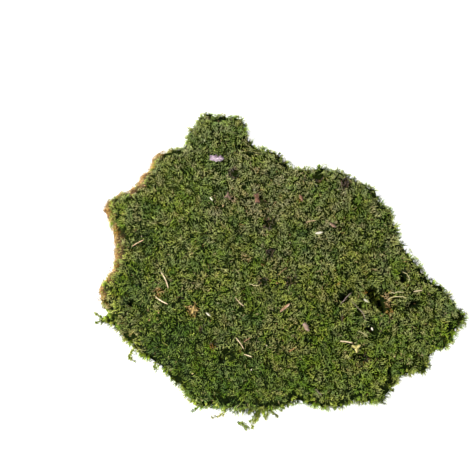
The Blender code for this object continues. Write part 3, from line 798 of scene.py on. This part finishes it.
def rod(line, across, upward):
    """A closed form of ovals around a line, with their half width and half height at its points."""
    way = unit(np.gradient(line, axis=0))
    side = unit(np.cross(way, [0, 0, 1]))
    up = np.cross(side, way)
    turn = circle(across.shape[1])
    return loft(line[:, None] + side[:, None] * (across * np.cos(turn))[:, :, None]
                + up[:, None] * (upward * np.sin(turn))[:, :, None])


def needle_form(node):
    """A dry needle: flat, grooved along its upper face, with a sharp tip and a small foot."""
    line, u, radii = rod_line(node, 21)
    taper = np.minimum(1, ((1 - u) / 0.3 + 0.02) ** 0.7) * np.minimum(1, 0.45 + u / 0.12)
    foot = 1 + 0.5 * np.exp(-(u / 0.03) ** 2)
    groove = 1 - 0.35 * np.exp(-((circle(8) - math.pi / 2) / 0.3) ** 2)
    width = radii.max() * 0.52 * taper * foot * np.ones(8)
    return rod(line, width, width * 0.62 * groove)


def twig_form(node):
    """A thin twig: kinked, with knots where buds have been and rough bark."""
    line, u, radii = rod_line(node, 31)
    knots = sum(np.exp(-((u - place) / 0.025) ** 2) for place in (0.07, 0.33, 0.52, 0.78))
    rough = 1 + vary(0.08, len(line), 9)
    ends = np.minimum(1, 0.35 + np.minimum(u, 1 - u) / 0.04)
    width = np.interp(u, np.linspace(0, 1, RINGS), radii) * 0.48 * ends * (1 + 0.4 * knots) * rough
    return rod(line, width, width)


def stalk_form(node):
    """A dry grass stalk: fine lengthwise ribs, two nodes, and a flattened end."""
    line, u, radii = rod_line(node, 31)
    nodes = sum(np.exp(-((u - place) / 0.018) ** 2) for place in (0.3, 0.74))
    ribs = 1 + 0.07 * (-1.0) ** np.arange(10)
    flattened = ramp(u, 0.82, 1.0)
    width = radii.max() * 0.45 * (1 + 0.35 * nodes) * ribs
    return rod(line, width * (1 + 0.3 * flattened), width * (1 - 0.6 * flattened))


def flake_form(node, pointed, ragged, turn_by=0, share=1):
    """A scale, petal or husk: a thin arched plate, with a keel, a curled tip and an uneven edge.

    A share below 1 makes it a lobe, which has this share of the CAD node's length, starts at the
    node's middle and is turned by this many degrees."""
    points, middle, axes = lengthwise(node)
    spans = np.ptp((points - middle) @ axes.T, axis=0) * [share, share ** 0.5, 1]
    turned = axes[0] * math.cos(math.radians(turn_by)) + axes[1] * math.sin(math.radians(turn_by))
    axes = np.array([turned, np.cross(axes[2], turned), axes[2]])
    if share < 1:
        middle = middle + turned * spans[0] * 0.4
    t = np.linspace(-1, 1, 19)[:, None]
    turn = circle(18)[None]
    oval = (1 - np.abs(t) ** 2.4) ** 0.6
    tip = ((1 - t) / 2) ** 0.6 * ((1 + t) / 2) ** 0.25 * 1.42
    outline = np.maximum(oval * (1 - pointed) + tip * pointed, 0.06)
    seed = rng.uniform(0, 50)
    wave = np.array([[noise.noise((2.2 * a + seed, 1.6 * math.cos(b), 1.6 * math.sin(b)))
                      for b in turn[0]] for a in t[:, 0]])
    s = np.cos(turn)
    half = spans[1] * 0.38 * outline * (1 + ragged * wave)
    arch = max(spans[2] - PLATE_THICKNESS, 0.4 * spans[1])
    keel = 0.25 * arch * np.exp(-(s / 0.16) ** 2)
    height = arch * (0.4 - s ** 2) - 0.4 * arch * t ** 2 + keel + ragged * arch * 0.8 * wave
    height = height + 0.5 * FLAKE_THICKNESS * np.sin(turn) * np.abs(np.sin(turn)) ** 0.4
    return loft(middle + axes[0] * (t * spans[0] / 2)[:, :, None] + axes[1] * (half * s)[:, :, None]
                + axes[2] * height[:, :, None])


def litter_forms(node):
    """What a piece of litter is made of: one form, or several where the flake is torn."""
    kind = node.split("_")[0]
    rods = {"needle": needle_form, "twig": twig_form, "stalk": stalk_form}
    if node in LOBES:
        return [flake_form(node, 0.6, 0.7, turn, 0.6) for turn in LOBES[node]]
    if kind == "petal":
        return [flake_form(node, 0.3, 1.3), flake_form(node, 0.5, 1.0, 160, 0.6)]
    if kind in rods:
        return [rods[kind](node)]
    pointed, ragged = {"bud": (0.7, 0.8), "husk": (0.5, 0.6)}[kind]
    return [flake_form(node, pointed, ragged)]


def make_litter():
    """Each piece of litter in the place of its CAD node, in the finish of the node's slot."""
    materials = {slot: litter_material(slot) for slot in LITTER_COLOURS}
    for node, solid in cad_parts.items():
        if node != "moss_mat":
            slot = solid.material_slots[0].material.name
            batch = Batch()
            for points, triangles, numbers in litter_forms(node):
                numbers["faded"] = np.full(len(points), FADED.get(node, 0.0))
                batch.add(points - [0, 0, LITTER_SINK], triangles, numbers)
            batch.piece(f"fine_{node}", materials[slot], slot, [node], smooth=True)


def make_crumbs(sheet):
    """Small flat crumbs that lie between the shoots, a few of them where the photograph has them."""
    places, normals = sheet.scatter(CRUMB_SPACING, lambda facing, middle: facing[:, 2] > 0.6)
    chosen = rng.choice(len(places), CRUMBS, replace=False)
    crumbs = [(place, normal, rng.uniform(*CRUMB_LENGTH), rng.random() ** 1.3)
              for place, normal in zip(places[chosen], normals[chosen])]
    crumbs += [(sheet.seen(pixel), np.array([0, 0, 1.0]), length * MM, tone)
               for *pixel, length, tone in FLECKS]
    batch = Batch()
    for place, normal, length, tone in crumbs:
        way = unit(np.cross(normal, rng.normal(size=3)))
        tilted = unit(normal + vary(0.4, 3))
        line = place + way * np.linspace(-0.5, 0.5, 4)[:, None] * length
        line = line + vary(0.08, 4, 3) * MM
        side = unit(np.cross(tilted, way))
        turn = circle(5)
        half = length * rng.uniform(0.15, 0.38) * np.array([0.35, 1, 0.8, 0.25])[:, None]
        rows = (line[:, None] + side * (half * np.cos(turn))[:, :, None]
                + tilted * (CRUMB_HALF_HEIGHT * np.sin(turn))[None, :, None])
        points, triangles, numbers = loft(rows)
        numbers["tone"] = np.full(len(points), tone)
        batch.add(points, triangles, numbers)
    batch.piece("crumbs", crumb_material(), "needle_brown", [])


def nearest(points, places):
    """For each point, which of the places is nearest and how far off it is."""
    tree = KDTree(len(places))
    for i, place in enumerate(places):
        tree.insert(Vector(place), i)
    tree.balance()
    found = [tree.find(Vector(point))[1:] for point in points]
    return np.array([i for i, _ in found]), np.array([distance for _, distance in found])


def litter_distance(points):
    """How far each point is from the middle line of the nearest piece of litter."""
    lines = []
    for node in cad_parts:
        if node != "moss_mat":
            corners, middle, axes = lengthwise(node)
            span = np.ptp((corners - middle) @ axes[0])
            lines.append(middle + axes[0] * span * np.linspace(-0.45, 0.45, 9)[:, None])
    return nearest(points, np.vstack(lines))[1]


def off_cluster(places):
    """How far the places are from the middle of the hanging cluster, seen from above."""
    return flat_length(places - seen_at(CLUSTER_PX, CLUSTER_HEIGHT))


def hollowness(sheet, places):
    """How deep in a dark hollow each place is, from 0 to 1."""
    deep = np.zeros(len(places))
    for *pixel, radius in HOLLOWS:
        deep = np.maximum(deep, 1 - ramp(sheet.pixels_off(pixel, places) / radius, 0.55, 1.15))
    return deep


def photo_patches(sheet, places, tone, shade):
    """Tone and brightness, changed where the photograph shows patches, hollows and dead tufts. In the
    hollows the shoots are painted darker, painted shade.

    The third value says how vivid the bright patches are."""
    vivid = np.zeros(len(places))
    for *pixel, radius, tone_shift, shade_shift in PATCHES:
        share = 1 - ramp(sheet.pixels_off(pixel, places) / radius, 0.35, 1.25)
        tone = tone + share * (tone_shift / 100)
        shade = shade + share * (shade_shift / 100)
        vivid += 3 * share * max(shade_shift / 100 - 0.25, 0)
    # Painted shade: shoots in the hollows are darkened
    shade = shade - HOLLOW_PAINTED_SHADE * hollowness(sheet, places)
    for *pixel, radius, tuft_tone in DEAD_TUFTS:
        inside = sheet.pixels_off(pixel, places) < radius * rng.uniform(0.6, 1.2, len(places))
        tone = np.where(inside, tuft_tone + vary(0.025, len(places)), tone)
        shade = np.where(inside, np.clip(shade, 0.65, 1.0), shade)
        vivid = np.where(inside, 0, vivid)
    return tone, shade, vivid


def outside(facing, middle):
    """Whether this is the sheet's outside, and not its cut underside."""
    return (facing[:, 2] > -0.9) & (middle[:, 2] > LOWEST)


def shoot_tips(sheet):
    """Where shoots reach the sheet's surface, and its normals there.

    They are thinner low on the far side, which the view doesn't show, and hardly any grow in the
    hollows."""
    tips, normals = sheet.scatter(SHOOT_SPACING, outside)
    own = off_cluster(tips) > CLUSTER_RADIUS
    own &= rng.random(len(tips)) > torn(tips, normals)
    hidden = ramp(flat_length(normals), 0.6, 0.9) * ramp(normals[:, 1], -0.3, 0.1)
    own &= rng.random(len(tips)) > 0.5 * hidden * ramp(-tips[:, 2], -6 * MM, -3 * MM)
    own &= rng.random(len(tips)) > 0.97 * hollowness(sheet, tips)
    return tips[own], normals[own]


def sinking(tips, steepness, share, reach):
    """How far each shoot's tip is below the sheet's surface. Some beside litter grow over it."""
    sunk = CLUMP_DROP * share ** 2 + rng.uniform(0, SHOOT_SINK, len(tips))
    sunk -= (reach + EDGE_OUT) * ramp(steepness, 0.3, 0.8)
    sunk *= ramp(tips[:, 2], 0, SINK_HEIGHT)
    beside = litter_distance(tips)
    sunk *= 0.4 + 0.6 * ramp(beside, *LITTER_SIDES)
    nearest_over, farthest_over = LITTER_OVERGROWN
    over = (beside > nearest_over) & (beside < farthest_over) & (rng.random(len(tips)) < OVER_SHARE)
    return np.where(over, -rng.uniform(*OVER_HEIGHT, len(tips)), sunk)


def shoot_looks(sheet, tips, steepness, share, clump_tone, clump_shade):
    """Tone, brightness and dryness of the shoots. Their brightness holds painted shade at clump rims
    and in hollows, and painted light on the steep edge and beside the torn side.
    """
    count = len(tips)
    tone = SHOOT_TONE + 0.1 * field(tips, "tone") + clump_tone + vary(0.03, count)
    # Painted shade: shoots are darker towards a clump's rim, between the clumps
    shade = SHOOT_SHADE + clump_shade - 0.06 * share ** 2 + vary(SHADE_SPREAD, count)
    # Painted light: shoots are brighter on the sheet's steep edge
    shade += 0.1 * ramp(steepness, 0.3, 0.8)
    straw = rng.random(count) < 0.02 + 0.05 * ramp(field(tips, "straw"), 0.1, 0.5)
    tone = np.where(straw, rng.uniform(0.66, 0.88, count), np.clip(tone, 0.02, 0.62))
    wall = sheet.points[torn(sheet.points, sheet.normals) > 0.5]
    rim = 1 - ramp(nearest(tips, wall)[1], 0.4 * RIM_REACH, RIM_REACH)
    tone = tone * (1 - 0.7 * rim) + RIM_TONE * 0.7 * rim
    # Painted light: the rim beside the torn side is made brighter
    tone, shade, vivid = photo_patches(sheet, tips, tone, shade + 0.3 * rim)
    dry = 0.48 + 0.7 * field(tips, "dry") + 0.3 * field(tips, "dry_broad") - rim - vivid
    dry += DRIER_PER_METRE * tips[:, 1]
    looks = {"tone": tone, "shade": shade, "dry": dry}
    return {key: np.clip(values, 0, 1) for key, values in looks.items()}


def make_shoots(sheet, material):
    """The green top: clumps of shoots all over the sheet, combed in drifts, splayed at its edge."""
    clumps, _ = sheet.scatter(CLUMP_SPACING, outside)
    clumps = clumps[rng.random(len(clumps)) < CLUMP_SHARE]
    clump_tone = vary(0.09, len(clumps)) + 0.18 * field(clumps, "clump_tone")
    clump_shade = vary(0.05, len(clumps)) + 0.11 * field(clumps, "clump_shade")
    clump_reach = vary(EDGE_REACH, len(clumps))
    clump_lean = vary(1, len(clumps), 3)

    tips, normals = shoot_tips(sheet)
    count = len(tips)
    clump, distance = nearest(tips, clumps)
    share = np.clip(distance / CLUMP_RADIUS, 0, 1.3)
    steepness = flat_length(normals)
    drift = COMBED_WAY + field(tips, "drift") * 2.6 + field(tips, "drift_fine") * 1.6
    splay = unit(tips - clumps[clump]) * 0.8 * share[:, None]
    lie = level(drift) * 0.4 + clump_lean[clump] * 0.35 + splay
    lie = unit(lie + vary(0.5, count, 3))
    lie = unit(lie + (normals * [1.5, 1.5, 0] + [0, 0, -0.2]) * steepness[:, None])
    lie -= normals * (lie * normals).sum(axis=1, keepdims=True)
    rise = np.clip(0.78 - 0.36 * share + vary(0.15, count), 0.2, 0.95)[:, None]
    heading = unit(unit(lie) * np.sqrt(1 - rise ** 2) + normals * rise)
    bend = lie * rng.uniform(-0.3, 0.7, (count, 1)) + vary(0.32, count, 3)
    length = rng.uniform(*SHOOT_LENGTH, count)
    sunk = sinking(tips, steepness, share, clump_reach[clump])
    looks = shoot_looks(sheet, tips, steepness, share, clump_tone[clump], clump_shade[clump])

    tips = tips - normals * sunk[:, None]
    roots = tips - (heading + 0.5 * bend) * length[:, None]
    order = np.argsort(tips[:, 0], kind="stable")
    for k, part in enumerate(np.array_split(order, SHOOT_PIECES)):
        shoots = [values[part] for values in (roots, heading, bend, length)]
        part_looks = {key: values[part] for key, values in looks.items()}
        moss_piece(f"moss_shoots_{k + 1}", material, *shoots, part_looks, sides=2)


def make_edge_tufts(sheet, material):
    """Tufts at the edge that reach out over the ground, some further than others."""

    def edge(facing, middle):
        return (flat_length(facing) > 0.7) & (middle[:, 2] > 1 * MM) & (middle[:, 2] < TUFT_TOP)

    places, normals = sheet.scatter(TUFT_SPACING, edge)
    own = off_cluster(places) > CLUSTER_RADIUS
    own &= rng.random(len(places)) > torn(places, normals)
    places, normals = places[own], normals[own]
    tone = 0.26 + 0.16 * field(places, "tuft_tone") + vary(0.07, len(places))
    tone = np.clip(tone, 0.02, 0.55)
    shade = np.clip(0.62 + vary(0.2, len(places)), 0.1, 1)
    out = rng.uniform(*TUFT_OUT, len(places))

    tuft = np.repeat(np.arange(len(places)), TUFT_SHOOTS)
    count = len(tuft)
    outward = unit(normals * [1, 1, 0])[tuft]
    sideways = np.cross(outward, [0, 0, 1])
    heading = outward + sideways * rng.normal(size=(count, 1)) * 0.4
    heading = unit(heading + [0, 0, 1] * rng.normal(0.1, 0.25, (count, 1)))
    bend = vary(0.25, count, 3) - [0, 0, 0.25]
    length = out[tuft] * rng.uniform(0.55, 1.0, count) + TUFT_ROOT
    roots = places[tuft] - outward * TUFT_ROOT + vary(0.4, count, 3) * MM
    looks = {"tone": tone[tuft], "shade": np.clip(shade[tuft] + vary(0.2, count), 0, 1)}
    moss_piece("edge_tufts", material, roots, heading, bend, length, looks, TUFT_LEAF, sides=2)


def make_dead_stems(sheet, material):
    """The torn side: a wall of tangled golden and tan stems, combed down and along the tear."""
    tips, normals = sheet.scatter(DEAD_SPACING, lambda facing, middle: torn(middle, facing) > 0.4)
    count = len(tips)
    down = unit([0, 0, -1] + normals * normals[:, 2:])
    along_tear = np.cross(normals, down)
    turn = vary(0.9, count, 1) + field(tips, "dead_turn")[:, None] * 1.2
    lie = down * np.cos(turn) + along_tear * np.sin(turn)
    rise = rng.uniform(0.05, 0.45, (count, 1))
    heading = unit(lie * np.sqrt(1 - rise ** 2) + normals * rise)
    bend = vary(0.45, count, 3)
    length = rng.uniform(*DEAD_LENGTH, count)
    out = TORN_OUT * torn(tips, normals) + rng.uniform(-0.2, 1.4, count) * MM
    tips = tips + normals * out[:, None]
    tone = np.clip(0.85 + vary(0.05, count) + 0.08 * field(tips, "dead_tone"), 0.6, 1)
    shade = np.clip(0.8 + vary(0.3, count), 0, 1)
    roots = tips - (heading + 0.5 * bend) * length[:, None]
    looks = {"tone": tone, "shade": shade}
    moss_piece("dead_stems", material, roots, heading, bend, length, looks, *DEAD_LEAVES)


def make_roots(sheet, material):
    """The cut underside: brown stems that lie flat in the felt."""

    def underside(facing, middle):
        return (facing[:, 2] < -0.9) & (middle[:, 2] < LOWEST)

    places, _ = sheet.scatter(ROOT_SPACING, underside)
    count = len(places)
    turn = rng.random(count) * 2 * math.pi
    heading = level(turn)
    bend = rng.normal(size=(count, 3)) * [0.5, 0.5, 0]
    length = rng.uniform(*ROOT_LENGTH, count)
    places = places - (heading + 0.5 * bend) * length[:, None] / 2
    places[:, 2] = ROOT_HEIGHT
    tone = np.clip(0.9 + vary(0.06, count), 0.7, 1)
    shade = rng.uniform(0, 0.8, count)
    looks = {"tone": tone, "shade": shade}
    moss_piece("cut_stems", material, places, heading, bend, length, looks, *ROOT_LEAVES)


def make_tendrils(material):
    """Loose shoots that hang out over the ground at the edge, with short side shoots."""
    batch = Batch()
    for root_height, tip_height, *pixels in TENDRILS:
        heights = np.linspace(root_height * MM, tip_height * MM, len(pixels))
        line = smooth_line([seen_at(pixel, height) for pixel, height in zip(pixels, heights)], 24)
        total = np.linalg.norm(np.diff(line, axis=0), axis=1).sum()
        count = int(total / TENDRIL_STEP)
        gaps = len(line) - 1
        spots = np.sort(rng.uniform(0, gaps - 0.1, count))
        first = spots.astype(int)
        roots = line[first] + (line[first + 1] - line[first]) * (spots - first)[:, None]
        way = unit(line[first + 1] - line[first])
        heading = unit(way + rng.normal(size=(count, 3)) * [0.6, 0.6, 0.35])
        length = rng.uniform(*TENDRIL_LENGTH, count) * (1 - 0.4 * spots / gaps)
        looks = {
            "tone": np.clip(rng.normal(0.3, 0.1) + vary(0.06, count), 0, 0.9),
            "shade": rng.uniform(0.3, 0.9, count),
        }
        bend = vary(0.3, count, 3)
        batch.add(*leafy_shoots(roots, heading, bend, length, looks, TENDRIL_LEAF, sides=2))
    batch.piece("loose_shoots", material)


def make_felt(sheet, material):
    """The bed of old stems: the sheet's own form, drawn in under its shoots."""
    tear = torn(sheet.points, sheet.normals)
    rough = field(sheet.points, "felt") * MM
    depth = FELT_DEPTH * (1 - FELT_THINNER_AT_EDGE * ramp(flat_length(sheet.normals), 0.5, 0.8))
    points = sheet.points + sheet.normals * (rough - depth + (depth + TORN_OUT) * tear)[:, None]
    on_ground = sheet.points[:, 2] < 0.1 * MM
    inward = sheet.normals * [1, 1, 0] * (1 - tear[:, None])
    points[on_ground] = sheet.points[on_ground] - inward[on_ground] * 0.8 * MM
    points[:, 2] = np.maximum(points[:, 2], FELT_BOTTOM)
    points[:, 1] += FELT_DRAWS_BACK * (1 - ramp(off_cluster(points), 7 * MM, 11 * MM))
    low, high = points.min(axis=0), points.max(axis=0)
    u, v = ((points - low) / (high - low)).T[:2]
    batch = Batch()
    batch.add(points, sheet.triangles, {"u": u, "v": v, "bare": np.maximum(tear, 0.65 * on_ground)})
    batch.piece("moss_felt", material, smooth=True)


def make_stage():
    """A plain pale floor, soft light from the left, and the photograph's view."""
    floor_mesh = bpy.data.meshes.new("floor")
    corners = [(x * FLOOR_REACH, y * FLOOR_REACH, 0) for x, y in ((-1, -1), (1, -1), (1, 1), (-1, 1))]
    floor_mesh.from_pydata(corners, [], [(0, 1, 2, 3)])
    n = Nodes("pale_floor", roughness=0.9, specular=0.0)
    n.feed(n.shader, {"Base Color": (FLOOR_GREY, FLOOR_GREY, FLOOR_GREY, 1),
                      "Emission Color": (1, 1, 1, 1), "Emission Strength": FLOOR_GLOW})
    floor_mesh.materials.append(n.material)
    floor = add_object("floor", floor_mesh)

    world = bpy.data.worlds.new("studio")
    world.use_nodes = True
    background = world.node_tree.nodes["Background"]
    background.inputs["Color"].default_value = (1, 1, 1, 1)
    background.inputs["Strength"].default_value = WORLD_LIGHT
    bpy.context.scene.world = world

    for name, watts, size, place in LIGHTS:
        light = bpy.data.lights.new(name, "AREA")
        light.shape = "DISK"
        light.size = size
        light.energy = watts
        lamp = add_object(name, light)
        lamp.location = place
        lamp.rotation_euler = lamp.location.to_track_quat("Z", "Y").to_euler()

    camera = bpy.data.cameras.new("camera")
    camera.lens = LENS_MM
    camera.sensor_width = SENSOR_MM
    camera.clip_start = 0.01
    eye = add_object("camera", camera)
    back = Vector(VIEW_BACK)
    eye.location = Vector(VIEW_AIM) + back * VIEW_DISTANCE
    eye.rotation_euler = back.to_track_quat("Z", "Y").to_euler()
    bpy.context.scene.camera = eye
    bpy.context.scene.view_settings.view_transform = "Standard"


make_stage()
sheet = Sheet()
make_felt(sheet, felt_material())
moss = moss_material()
make_shoots(sheet, moss)
make_edge_tufts(sheet, moss)
make_dead_stems(sheet, moss)
make_roots(sheet, moss)
make_tendrils(moss)
make_litter()
make_crumbs(sheet)
